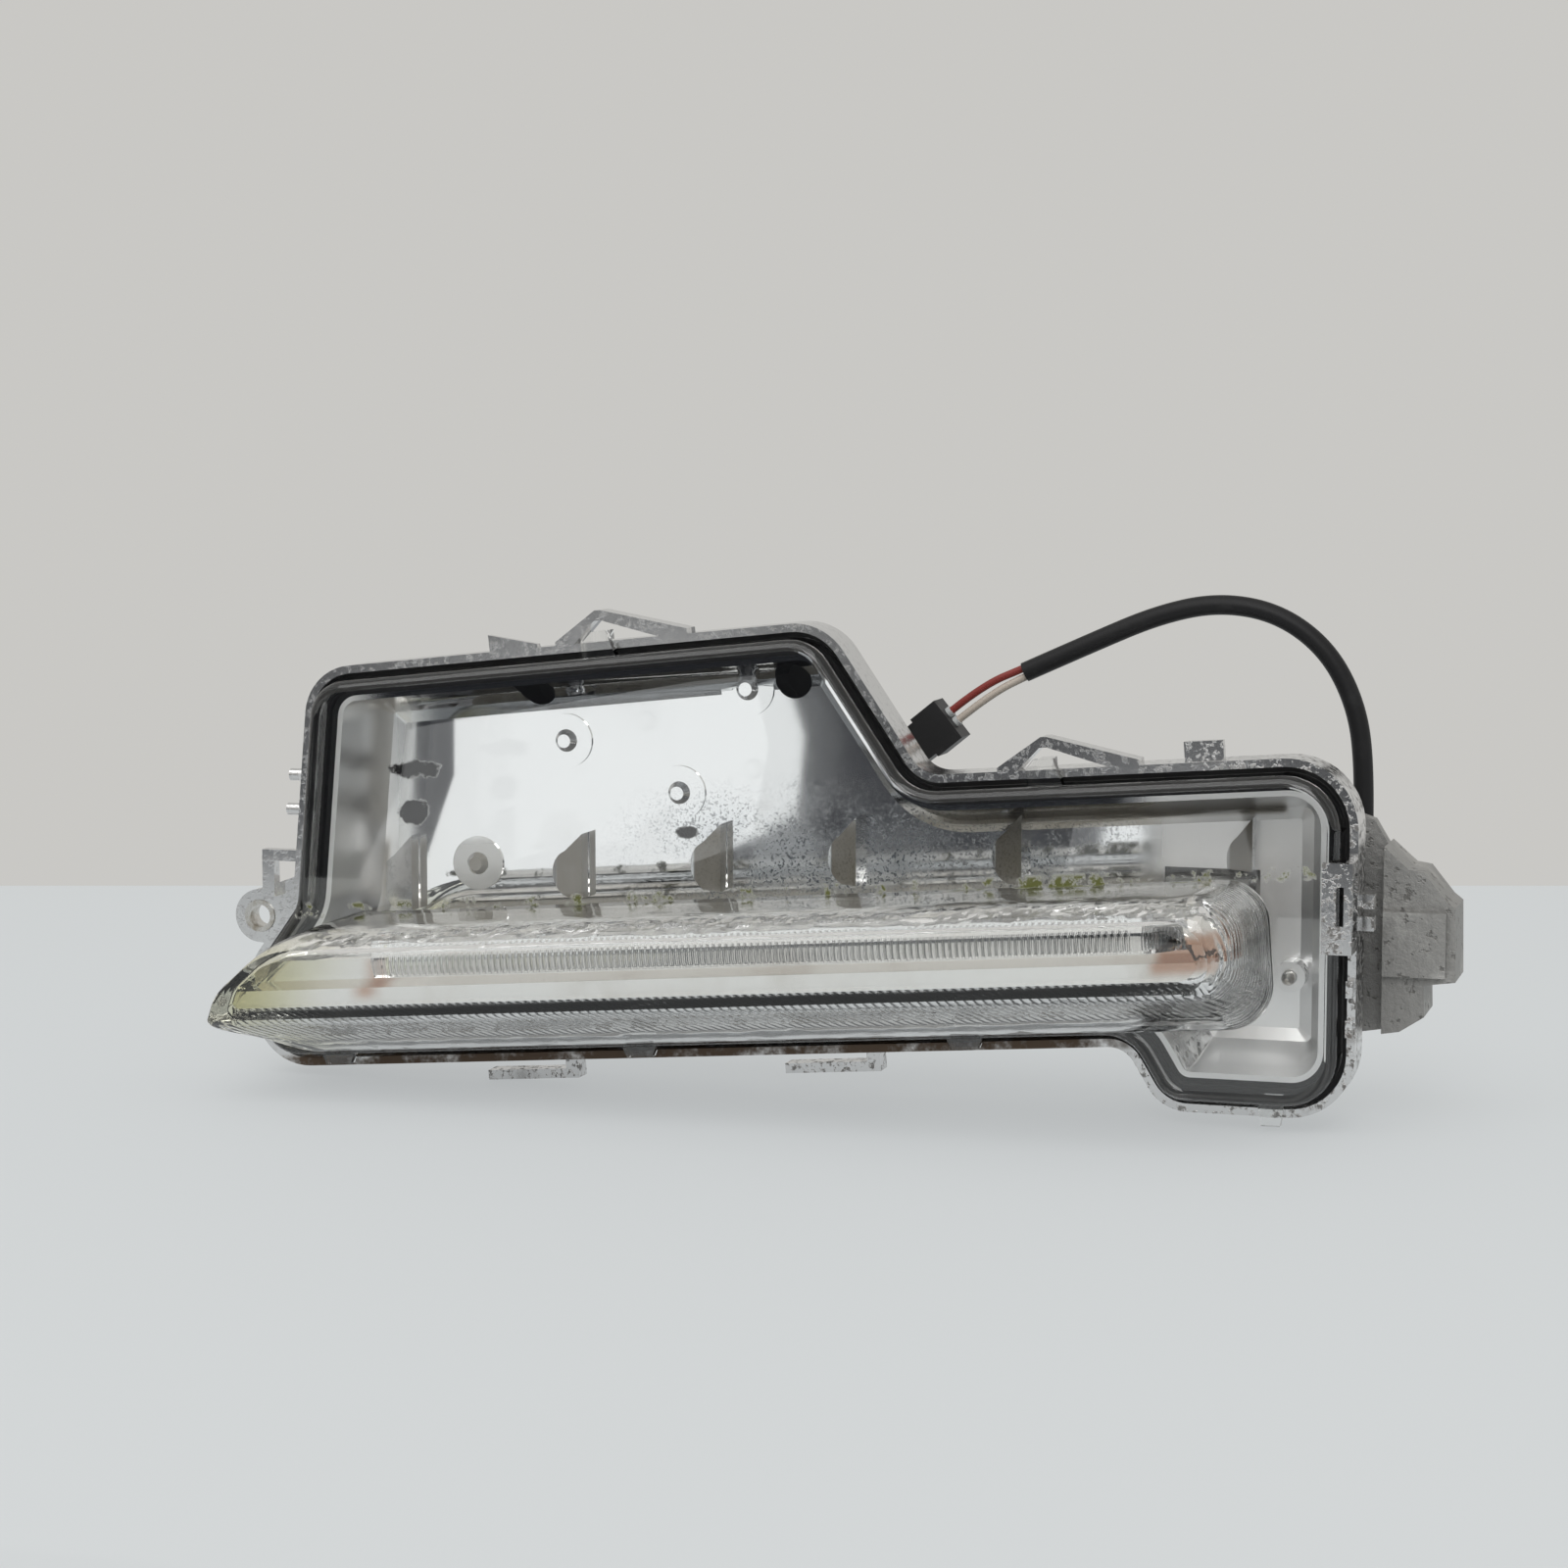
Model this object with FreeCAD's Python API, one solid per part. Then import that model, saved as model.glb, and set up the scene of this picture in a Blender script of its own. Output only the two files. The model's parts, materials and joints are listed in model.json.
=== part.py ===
import FreeCAD
import Part
import math
import os

Vector = FreeCAD.Vector

# Auxiliary driving light: a clear lens with a blade-shaped nose, glued into a metallised housing,
# lit by a board on a cast heatsink. Millimetres. The front is -Y and up is +Z.
# The origin is the middle of the fixing bush's front face, in the ear at the left.

# Rim outline seen from the front: places of its edges and corners
right_edge = 254.6
right_top = 45.3
lobe_base = -32.3
lobe_left = 213.5
step_x = 160.5
step_z = 38.2
crest_x = 138.2
crest_z = 71.3
shoulder_x = 15.9
shoulder_z = 58.1
waist_x = 11.3
waist_z = 5.0
bow_x = 0.5
bow_z = -10.0
keel_left = 2.5
keel_right = 205.5

# Axis of the nose: it rises to the right, and the keel of the rim runs parallel below it
nose_tilt = 4.35
axis_x = 131.0
axis_z = -4.5
keel_drop = 20.0

# Section through the rim, from the outer edge inwards and from the front backwards
rim_wall = 1.8
bond_width = 1.4
lens_wall = 2.4
shell_wall = 1.2
field_y = -12.0
rim_front = -6.0
lip_drop = 3.6
channel_floor = 3.0
floor_wall = 2.0
back_y = 18.0
back_wall = 2.0
cove_run = 7.0
cove_drop = 12.0
cove_steps = 4
sealant_drop = 3.8
shoulder_radius = 2.4

# Nose of the lens
nose_depth = 30.0
nose_rise = 15.9
nose_step = 0.8
nose_end_gap = 16.6
bow_wall = 5.0
bow_up = -4.5

# Light guide: a bar behind the nose's front, bent back at its right end to meet the light board
guide_top = 11.9
guide_height = 7.7
guide_depth = 7.5
guide_left = -86.0
guide_end_gap = 23.0
guide_bend_radius = 2.0
guide_setback = 2.4
prism_pitch = 1.4
prism_depth = 0.5

# Carrier shelf behind the nose, and the bright bezel round the guide
shelf_wall = 1.6
shelf_left = -98.0
shelf_right_gap = 8.0
shelf_setback = 4.0
gusset_height = 9.0
gusset_wall = 1.4
gusset_places = [-85.0, -45.0, -5.0, 35.0, 58.0]
bezel_wall = 1.5
bezel_lip_low = -2.0
bezel_end_gap = 2.0
bezel_lip_high = 2.2

# Light board, heatsink and their fixings
board_width = 18.0
board_height = 11.0
board_wall = 1.6
led_size = 3.0
led_height = 0.9
led_spacing = 3.6
window_margin = 1.5
pad_wall = 0.5
gasket_wall = 1.0
gasket_width = 3.0
sink_wall = 4.0
sink_reach = 18.4
sink_left_margin = 12.0
sink_fin_wall = 2.0
sink_fin_pitch = 5.0
sink_fin_count = 5
sink_fin_height = 14.0
screw_radius = 1.5
screw_head_radius = 3.1
screw_head_height = 2.4
screw_length = 15.0

# Cable, its grommet and the plug
sheath_radius = 2.2
wire_radius = 0.85
wire_offset = 0.86
wire_bore_depth = 12.0
grommet_flange = 5.2
plug_angle = 39.0
plug_length = 20.0
plug_width = 10.4
plug_depth = 8.0
plug_pitch = 2.6
plug_seal_radius = 1.25
plug_seal_stand = 1.0

# Louvres on the back wall: x of the flat side, z of the foot, width and height
louvres = [
    (33.0, 0.9, 9.6, 17.6),
    (75.1, 5.3, 8.9, 15.0),
    (108.5, 8.2, 8.7, 15.5),
    (140.3, 10.8, 7.8, 15.5),
    (178.2, 12.5, 7.8, 15.7),
    (229.3, 13.9, 6.4, 15.2),
]
louvre_rise = 4.6

# Ear, bush, vents and small mouldings
ear_radius = 6.2
ear_wall = 4.7
bush_bore = 2.65
bush_wall = 1.1
bush_stand = 0.3
vent_radius = 4.2
vent_wall = 1.5
vent_length = 7.0
vent_places = [(64.0, 53.6), (124.6, 56.4)]
cap_wall = 1.5
stud_places = [(70.0, 41.3), (97.3, 30.1), (113.6, 54.2), (47.9, 12.1)]
stud_radius = 6.2
stud_step = 0.5
hook_width = 22.0
hook_gap = 3.0
hook_bar = 2.2
hook_places = [56.4, 127.3]
arch_places = [76.0, 177.0]
arch_height = 7.0
arch_span = 31.0
arch_depth = 6.0
arch_bar = 2.3
foot_places = [23.4, 96.4, 170.9]
lobe_foot_gap = 17.2
flap_x = 60.3
tab_gap = 37.0
clip_reach = 6.4
clip_low = 4.1
clip_high = 23.3
clip_wall = 1.6

# Clearances
bond_gap = 0.05
slip = 0.2
near_gap = 0.3
nose_gap = 0.5

# Places worked out from the sizes above
tilt = math.radians(nose_tilt)
lens_inset = rim_wall + bond_width
channel_inset = lens_inset + lens_wall + bond_width
cavity_inset = channel_inset + shell_wall
lens_foot = channel_floor - bond_width
back_outer = back_y + back_wall
nose_front = field_y - nose_depth
nose_low = -(keel_drop - lens_inset - nose_step)
nose_bow = bow_x + lens_inset + nose_step - axis_x
nose_end = right_edge - nose_end_gap - axis_x
guide_front = nose_front + lens_wall + guide_setback
guide_back = guide_front + guide_depth
guide_low = guide_top - guide_height
guide_bend = nose_end - guide_end_gap
leg_left = guide_bend + guide_bend_radius
leg_right = leg_left + guide_depth
shelf_right = guide_bend - shelf_right_gap
flange_high = nose_rise - lens_wall - nose_gap
flange_low = flange_high - bezel_wall
shelf_front = field_y + lens_wall + shelf_setback


def keel_z(x):
    return axis_z + (x - axis_x) * math.tan(tilt) - keel_drop / math.cos(tilt)


# Corners of the rim in order round it: x, z and radius
rim_corners = [
    (shoulder_x, shoulder_z, 12.0),
    (crest_x, crest_z, 13.0),
    (step_x, step_z, 7.0),
    (right_edge, right_top, 15.0),
    (right_edge, lobe_base, 14.0),
    (lobe_left, lobe_base, 10.0),
    (keel_right, keel_z(keel_right), 6.0),
    (keel_left, keel_z(keel_left), 13.0),
    (bow_x, bow_z, 9.0),
    (waist_x, waist_z, 8.0),
]


# Edges of the rim that carry the roof-shaped loops: places of their ends in the list above
arch_edges = [(0, 1), (2, 3)]


def export(name, shape):
    shape.exportStep("parts/" + name + ".step")


def box(low, high):
    size = [high[i] - low[i] for i in range(3)]
    return Part.makeBox(size[0], size[1], size[2], Vector(*low))


def rod_y(radius, x, z, y_low, y_high):
    return Part.makeCylinder(radius, y_high - y_low, Vector(x, y_low, z), Vector(0, 1, 0))


def prism(wire, y_high):
    depth = y_high - wire.BoundBox.YMin
    return Part.Face(wire).extrude(Vector(0, depth, 0))


def polygon(points, y):
    corners = [Vector(x, y, z) for x, z in points]
    return Part.makePolygon(corners + corners[:1])


def rounded_wire(corners, inset, y):
    """Closed wire of lines and arcs, each edge moved inwards by the inset; corners run clockwise."""
    count = len(corners)
    flat = [Vector(x, y, z) for x, z, radius in corners]
    along = [(flat[(i + 1) % count] - flat[i]).normalize() for i in range(count)]
    inward = [Vector(d.z, 0, -d.x) for d in along]
    arcs = []
    for i in range(count):
        before, after = i - 1, i
        spread = 1 + inward[before].dot(inward[after])
        corner = flat[i] + (inward[before] + inward[after]) * (inset / spread)
        cross = along[before].x * along[after].z - along[before].z * along[after].x
        side = -1 if cross > 0 else 1
        radius = max(corners[i][2] - side * inset, 0.6)
        turn = along[before].getAngle(along[after])
        reach = radius * math.tan(turn / 2)
        start = corner - along[before] * reach
        end = corner + along[after] * reach
        centre = start + inward[before] * (side * radius)
        middle = centre + (corner - centre).normalize() * radius
        arcs.append((start, middle, end))
    edges = []
    for i in range(count):
        start, middle, end = arcs[i]
        edges.append(Part.Arc(start, middle, end).toShape())
        edges.append(Part.LineSegment(end, arcs[(i + 1) % count][0]).toShape())
    return Part.Wire(edges)


def rim_prism(inset, y_low, y_high):
    return prism(rounded_wire(rim_corners, inset, y_low), y_high)


def bowl(inset, y_front, y_back):
    """Tub outline: straight sides from the front, then a cove into a flat back."""
    wires = [rounded_wire(rim_corners, inset, y_front)]
    for i in range(cove_steps + 1):
        turn = math.pi / 2 * i / cove_steps
        draw_in = cove_run * (1 - math.cos(turn))
        y = y_back - cove_drop * (1 - math.sin(turn))
        wires.append(rounded_wire(rim_corners, inset + draw_in, y))
    return Part.makeLoft(wires, True, True)


def on_axis(shape):
    """Moves a shape drawn along the nose, x along it and z across it, to its tilted place."""
    shape.rotate(Vector(0, 0, 0), Vector(0, 1, 0), -nose_tilt)
    shape.translate(Vector(axis_x, 0, axis_z))
    return shape


def axis_point(along, y, up):
    x = axis_x + along * math.cos(tilt) - up * math.sin(tilt)
    z = axis_z + along * math.sin(tilt) + up * math.cos(tilt)
    return Vector(x, y, z)


def edge_plate(first, second, x, points, y_low, y_high):
    """Plate on a straight edge of the rim: points are distances along the edge from x, and outwards."""
    a = rim_corners[first]
    b = rim_corners[second]
    start = Vector(a[0], 0, a[1])
    along = (Vector(b[0], 0, b[1]) - start).normalize()
    out = Vector(-along.z, 0, along.x)
    base = start + along * ((x - a[0]) / along.x)
    places = [base + along * s + out * o for s, o in points]
    return prism(polygon([(p.x, p.z) for p in places], y_low), y_high)


# Shape of the nose at stations from its root to its front: share of the depth, then how far the
# top, the chin, the bow and the right end draw in
nose_stations = [
    (0.0, 0.0, 0.0, 0.0, 0.0),
    (0.36, 0.2, 4.2, 0.0, 1.0),
    (0.68, 0.5, 8.0, 0.0, 2.2),
    (0.9, 1.6, 10.6, 0.4, 4.0),
    (1.0, 4.4, 12.4, 2.5, 8.0),
]


def nose_wire(station, wall, bow, y):
    share, top_loss, chin_rise, bow_loss, end_loss = station
    top = nose_rise - top_loss - wall
    low = nose_low + chin_rise + wall
    left = nose_bow + bow_loss + bow
    right = nose_end - end_loss - wall
    tip = max(bow_up, low + 1.2)
    high = top - tip
    drop = tip - low
    corners = [
        (left + high, top, 1.45 * high),
        (right, top, 9.0),
        (right, low, min(10.0, 0.42 * (top - low))),
        (left + drop, low, drop),
        (left, tip, 0.18 * drop + 0.3),
        (left + 0.137 * high, tip + 0.333 * high, 0.69 * high),
    ]
    return rounded_wire(corners, 0.0, y)


def nose_solid(wall, bow, y_back):
    """The nose, drawn in by a wall on every side, reaching back to y_back."""
    wires = [nose_wire(nose_stations[0], wall, bow, y_back)]
    for station in nose_stations:
        y = field_y - station[0] * (nose_depth - wall)
        wires.append(nose_wire(station, wall, bow, y))
    return on_axis(Part.makeLoft(wires, True, False))


def make_lens():
    tray = rim_prism(lens_inset, field_y, lens_foot)
    front = [e for e in tray.Edges if e.BoundBox.YMax < field_y + 0.01]
    tray = tray.makeFillet(shoulder_radius, front)
    lens = tray.fuse(nose_solid(0.0, 0.0, field_y + lens_wall / 2))
    lens = lens.cut(rim_prism(lens_inset + lens_wall, field_y + lens_wall, lens_foot))
    lens = lens.cut(nose_solid(lens_wall, bow_wall, field_y + lens_wall))
    lug_front = rim_front - slip - lens_wall
    lug_back = rim_front - slip
    root = -lens_inset - 1.0
    lugs = []
    for (first, second), x in zip(arch_edges, arch_places):
        plate = [(7.0, root), (7.0, 0.6), (8.6, 2.4), (13.0, 2.4), (15.0, root)]
        lugs.append(edge_plate(first, second, x, plate, lug_front, lug_back))
        tooth = [(9.2, slip), (9.2, 2.4), (12.4, 2.4), (12.4, slip)]
        lugs.append(edge_plate(first, second, x, tooth, lug_back - 0.5, rim_front + arch_depth - 1.5))
    foot = [(-4.5, root), (4.5, root), (3.0, -0.6), (-3.0, -0.6)]
    for x in foot_places:
        lugs.append(edge_plate(6, 7, x, foot, lug_front, lug_back))
    foot = [(-3.0, root), (3.0, root), (2.0, 1.6), (-2.0, 1.6)]
    lugs.append(edge_plate(4, 5, right_edge - lobe_foot_gap, foot, lug_front, lug_back))
    return lens.fuse(lugs).removeSplitter()


def make_sealant():
    front = rim_front + sealant_drop
    ring = rim_prism(rim_wall + bond_gap, front, channel_floor - bond_gap)
    ring = ring.cut(rim_prism(channel_inset - bond_gap, front, channel_floor))
    foot = rim_prism(lens_inset - bond_gap, front, lens_foot + bond_gap)
    foot = foot.cut(rim_prism(lens_inset + lens_wall + bond_gap, front, lens_foot + bond_gap))
    return ring.cut(foot)


# Light board: straight behind the guide's leg
led_point = axis_point((leg_left + leg_right) / 2, 0, (guide_top + guide_low) / 2)
led_x = led_point.x
led_z = led_point.z
window_width = board_width + 2 * window_margin
window_height = board_height + 2 * window_margin
sink_front = back_outer + gasket_wall
sink_back = sink_front + sink_wall
pedestal_front = back_y - 5.0
board_front = pedestal_front - pad_wall - board_wall
led_front = board_front - led_height
guide_end = led_front - near_gap
sink_left = led_x - window_width / 2 - sink_left_margin
screw_places = [
    (led_x + window_width / 2 + 7.6, led_z - 15.3),
    (sink_left + 4.8, led_z - 5.0),
    (sink_left + 8.0, led_z - 14.5),
]


def centred_box(width, height, y_low, y_high):
    low = (led_x - width / 2, y_low, led_z - height / 2)
    high = (led_x + width / 2, y_high, led_z + height / 2)
    return box(low, high)


def make_housing():
    flange_back = channel_floor + floor_wall
    body = rim_prism(0.0, rim_front, flange_back)
    outside = [bowl(channel_inset, rim_front, back_outer)]
    outside.extend(plug_cradle())
    neck_front = back_outer - cove_drop
    for x, z in vent_places:
        outside.append(rod_y(vent_radius + vent_wall, x, z, neck_front, back_outer + vent_length))
    body = body.fuse(outside)
    body = body.cut(bowl(cavity_inset, rim_front, back_y))
    body = body.cut(rim_prism(rim_wall, rim_front, rim_front + lip_drop))
    added = [ear_block()]
    # Roof-shaped loops over the lens lugs
    peak = arch_height - arch_bar
    for (first, second), x in zip(arch_edges, arch_places):
        roof = [(0.0, -1.0), (0.0, 0.8), (10.0, arch_height), (11.2, arch_height)]
        roof += [(arch_span, 1.2), (arch_span, -1.0)]
        inner = [(arch_span - 4.0, -1.0), (11.2, peak), (9.6, peak), (3.4, -1.0)]
        added.append(edge_plate(first, second, x, roof + inner, rim_front, rim_front + arch_depth))
    flap = [(0.0, -1.0), (0.0, 3.8), (11.5, 0.8), (11.5, -1.0)]
    added.append(edge_plate(0, 1, flap_x, flap, rim_front, rim_front + 2.0))
    tab = [(0.0, -1.0), (0.0, 4.4), (8.4, 4.4), (8.4, -1.0)]
    added.append(edge_plate(2, 3, right_edge - tab_gap, tab, rim_front + 1.0, rim_front + 3.2))
    # Hooks under the keel: a bar that stands off the rim on a leg at its right end
    hook_low = hook_gap + hook_bar
    for x in hook_places:
        hook = [(0.0, -1.0), (0.0, hook_low), (hook_width, hook_low)]
        hook += [(hook_width, hook_gap), (3.0, hook_gap), (3.0, -1.0)]
        added.append(edge_plate(6, 7, x + hook_width, hook, 0.0, flange_back))
    added.extend(side_mouldings())
    # Studs on the back wall, bosses for the heatsink's screws
    for x, z in stud_places:
        added.append(rod_y(stud_radius, x, z, back_y - stud_step, back_y + 0.5))
        added.append(Part.makeCone(stud_radius * 0.45, stud_radius * 0.25, 2.0, Vector(x, back_y - 0.2, z),
                                   Vector(0, -1, 0)))
        added.append(rod_y(stud_radius * 0.35, x, z, back_outer - 0.5, back_outer + 6.0))
    for place in louvres:
        added.append(louvre(*place))
    for x, z in screw_places:
        added.append(rod_y(screw_radius + 1.9, x, z, back_y - 6.0, back_outer))
    body = body.fuse(added)
    hollow = rim_prism(rim_wall, rim_front, channel_floor)
    hollow = hollow.cut(rim_prism(channel_inset, rim_front, channel_floor))
    body = body.cut(hollow)
    for x, z in vent_places:
        body = body.cut(rod_y(vent_radius, x, z, neck_front + vent_wall, back_outer + vent_length))
    for x, z in screw_places:
        body = body.cut(rod_y(screw_radius + 0.1, x, z, back_y - 7.0, back_outer + 1.0))
    body = body.cut(centred_box(window_width, window_height, board_front - 1.0, back_outer + 1.0))
    body = body.cut(rod_y(bush_bore + bush_wall + bond_gap, 0, 0, -1.0, 2 * ear_wall))
    return body.removeSplitter()


def louvre(x, low, width, height):
    """Wedge on the back wall with a D outline: it rises to the right and ends in a flat side."""
    y = back_y + 0.5
    foot = Vector(x, y, low)
    peak = Vector(x, y, low + height)
    brow = Vector(x - 0.6 * width, y, low + 0.7 * height)
    heel = Vector(x - 0.5 * width, y, low)
    edges = [
        Part.LineSegment(foot, peak).toShape(),
        Part.LineSegment(peak, brow).toShape(),
        Part.Arc(brow, Vector(x - width, y, low + 0.33 * height), heel).toShape(),
        Part.LineSegment(heel, foot).toShape(),
    ]
    block = Part.Face(Part.Wire(edges)).extrude(Vector(0, -louvre_rise - 1.0, 0))
    under = low - 1.0
    slope = [Vector(x - 1.1 * width, y, under), Vector(x, y, under), Vector(x, back_y - louvre_rise, under)]
    ramp = Part.Face(Part.makePolygon(slope + slope[:1])).extrude(Vector(0, 0, height + 2.0))
    return block.common(ramp)


def side_mouldings():
    """Pegs and the lens clip at the right end, pegs and the snap loop at the left."""
    made = []
    inner = right_edge - rim_wall
    for z in [13.9, 9.2]:
        made.append(box((right_edge - 1.0, -2.0, z - 1.5), (right_edge + 3.0, 1.0, z + 1.5)))
    for z in [-3.9, -12.3]:
        made.append(box((inner, rim_front - 2.6, z - 1.8), (right_edge - 0.3, rim_front + 1.0, z + 1.8)))
    # The clip stands on the rim and reaches in over the lens's edge
    clip_back = field_y - near_gap
    clip_front = clip_back - clip_wall
    plate = box((right_edge - clip_reach, clip_front, clip_low), (right_edge, clip_back, clip_high))
    middle = (clip_low + clip_high) / 2
    slot_low = (right_edge - 3.4, clip_front - 1.0, middle - 3.6)
    slot_high = (right_edge - 1.8, clip_back + 1.0, middle + 4.6)
    made.append(plate.cut(box(slot_low, slot_high)))
    for z in [clip_low, clip_high - 2.6]:
        made.append(box((inner, clip_front, z), (right_edge, rim_front + 1.0, z + 2.6)))
    for x, z in [(12.0, 33.3), (11.2, 25.3)]:
        made.append(Part.makeCylinder(1.4, 6.0, Vector(x + 2.6, 0.0, z), Vector(-1, 0, 0)))
    made.append(box((2.1, -2.6, 5.0), (5.1, 0.4, 16.0)))
    made.append(box((2.1, -2.6, 13.4), (13.0, 0.4, 16.0)))
    return made


def ear_block():
    y_low = bush_stand
    y_high = bush_stand + ear_wall
    web = prism(polygon([(0, ear_radius), (16, 12), (16, -8), (0, -ear_radius)], y_low), y_high)
    ear = web.fuse(rod_y(ear_radius, 0, 0, y_low, y_high))
    return ear.cut(rim_prism(rim_wall * 0.6, y_low - 1.0, y_high + 1.0))


def make_bush():
    high = 2 * bush_stand + ear_wall
    bush = rod_y(bush_bore + bush_wall, 0, 0, 0.0, high)
    return bush.cut(rod_y(bush_bore, 0, 0, -1.0, high + 1.0))


def make_guide():
    low = guide_low
    high = guide_top
    middle = (low + high) / 2
    crown = Part.Arc(Vector(guide_left, guide_front + 1.5, high), Vector(guide_left, guide_front, middle),
                     Vector(guide_left, guide_front + 1.5, low)).toShape()
    corners = [Vector(guide_left, guide_front + 1.5, low), Vector(guide_left, guide_back, low),
               Vector(guide_left, guide_back, high), Vector(guide_left, guide_front + 1.5, high)]
    sides = [Part.LineSegment(corners[i], corners[i + 1]).toShape() for i in range(3)]
    face = Part.Face(Part.Wire([crown] + sides))
    bar = face.extrude(Vector(guide_bend - guide_left, 0, 0))
    face.translate(Vector(guide_bend - guide_left, 0, 0))
    pivot = Vector(guide_bend, guide_back + guide_bend_radius, 0)
    bend = face.revolve(pivot, Vector(0, 0, 1), 90)
    turned = face.copy()
    turned.rotate(pivot, Vector(0, 0, 1), 90)
    leg = turned.extrude(Vector(0, guide_end - pivot.y, 0))
    guide = bar.fuse([bend, leg])
    # Prism notches that turn the light forward, along the back of the bar
    count = int((guide_bend - guide_left - 2 * prism_pitch) / prism_pitch)
    notches = []
    for i in range(count):
        x = guide_left + prism_pitch * (i + 1)
        points = [Vector(x, guide_back, 0), Vector(x + prism_pitch * 0.5, guide_back - prism_depth, 0),
                  Vector(x + prism_pitch * 0.6, guide_back, 0), Vector(x, guide_back, 0)]
        notch = Part.Face(Part.makePolygon(points)).extrude(Vector(0, 0, guide_height * 0.6))
        notch.translate(Vector(0, 0, low + guide_height * 0.2))
        notches.append(notch)
    guide = on_axis(guide.cut(Part.makeCompound(notches)))
    inside = nose_solid(lens_wall + nose_gap, bow_wall + nose_gap, back_y)
    return guide.common(inside).removeSplitter()


def make_carrier():
    """Shelf under the bezel's flange, on gussets, reaching back to the housing's wall."""
    top = flange_low - near_gap
    low = top - shelf_wall
    pieces = []
    for along in gusset_places:
        corners = [Vector(along, back_y, low), Vector(along, shelf_front + 2.0, low),
                   Vector(along, back_y, low - gusset_height)]
        face = Part.Face(Part.makePolygon(corners + corners[:1]))
        pieces.append(face.extrude(Vector(gusset_wall, 0, 0)))
    shelf = box((shelf_left, shelf_front, low), (shelf_right, back_y, top))
    carrier = on_axis(shelf.fuse(pieces))
    carrier = carrier.common(bowl(cavity_inset + slip, field_y, back_y - bond_gap))
    return carrier.removeSplitter()


def make_bezel():
    wall = bezel_wall
    rear = guide_back + near_gap
    front = guide_front + 0.6
    flange_back = shelf_front + 3.6
    floor_low = nose_low + lens_wall + 2.0
    low = bezel_lip_low
    high = bezel_lip_high
    section = [
        (front, low), (front, high), (rear, high), (rear, flange_high), (flange_back, flange_high),
        (flange_back, flange_low), (rear + wall, flange_low), (rear + wall, high - wall),
        (front + wall, high - wall), (front + wall, low + wall), (field_y, floor_low + wall),
        (field_y, floor_low),
    ]
    corners = [Vector(nose_bow, y, up) for y, up in section]
    face = Part.Face(Part.makePolygon(corners + corners[:1]))
    bezel = face.extrude(Vector(nose_end - nose_bow, 0, 0))
    end_left = leg_right + bezel_end_gap
    end_wall = box((end_left, front + 3.0, low), (end_left + wall, field_y, flange_high))
    bezel = bezel.fuse(end_wall)
    passage = box((guide_bend - slip, guide_front - 1.0, guide_low - near_gap),
                  (leg_right + near_gap, field_y + 20.0, guide_top + near_gap))
    bezel = on_axis(bezel.cut(passage))
    inner = nose_solid(lens_wall + nose_gap, bow_wall + nose_gap, back_y)
    return bezel.common(inner).removeSplitter()


def with_screw_holes(plate):
    for x, z in board_screw_places():
        plate = plate.cut(rod_y(1.1, x, z, board_front - 1.0, pedestal_front + 5.0))
    return plate


def make_board():
    return with_screw_holes(centred_box(board_width, board_height, board_front, board_front + board_wall))


def make_leds():
    leds = []
    for side in (-1, 1):
        x = led_x
        z = led_z + side * led_spacing / 2
        chip = box((x - led_size / 2, board_front - led_height * 0.5, z - led_size / 2 * 0.9),
                   (x + led_size / 2, board_front, z + led_size / 2 * 0.9))
        dome = rod_y(led_size * 0.36, x, z, led_front, board_front - led_height * 0.5)
        leds.append(chip.fuse(dome))
    return Part.makeCompound(leds)


def board_screw_places():
    return [(led_x - board_width / 2 + 2.6, led_z), (led_x + board_width / 2 - 2.6, led_z)]


def make_board_screws():
    screws = []
    for x, z in board_screw_places():
        head = rod_y(1.9, x, z, board_front - 1.2, board_front)
        shank = rod_y(1.0, x, z, board_front, pedestal_front + 4.0)
        screws.append(head.fuse(shank))
    return Part.makeCompound(screws)


def make_pad():
    return with_screw_holes(centred_box(board_width, board_height, pedestal_front - pad_wall, pedestal_front))


def make_gasket():
    inner_width = window_width + 0.6
    inner_height = window_height + 0.6
    outer_width = inner_width + 2 * gasket_width
    outer_height = inner_height + 2 * gasket_width
    gasket = centred_box(outer_width, outer_height, back_outer, sink_front)
    gasket = gasket.cut(centred_box(inner_width, inner_height, back_outer - 1.0, sink_front + 1.0))
    for x, z in screw_places:
        gasket = gasket.cut(rod_y(screw_radius + 0.6, x, z, back_outer - 1.0, sink_front + 1.0))
    return gasket


# Cable: it leaves the top of the heatsink and arches over to the plug
tower_x = right_edge - 3.9
tower_y = sink_back + grommet_flange + near_gap
tower_top = 15.0
grommet_length = 12.0
sheath_route = [
    (tower_x, tower_y, tower_top + grommet_length),
    (tower_x, tower_y, 40.0),
    (tower_x - 2.1, tower_y - 0.1, 53.0),
    (tower_x - 8.4, tower_y - 0.5, 64.8),
    (tower_x - 19.1, tower_y - 1.1, 72.6),
    (tower_x - 32.1, tower_y - 1.9, 74.8),
    (tower_x - 45.4, tower_y - 2.7, 71.9),
    (tower_x - 60.5, tower_y - 3.5, 65.3),
    (tower_x - 75.2, tower_y - 4.1, 58.6),
]


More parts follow.
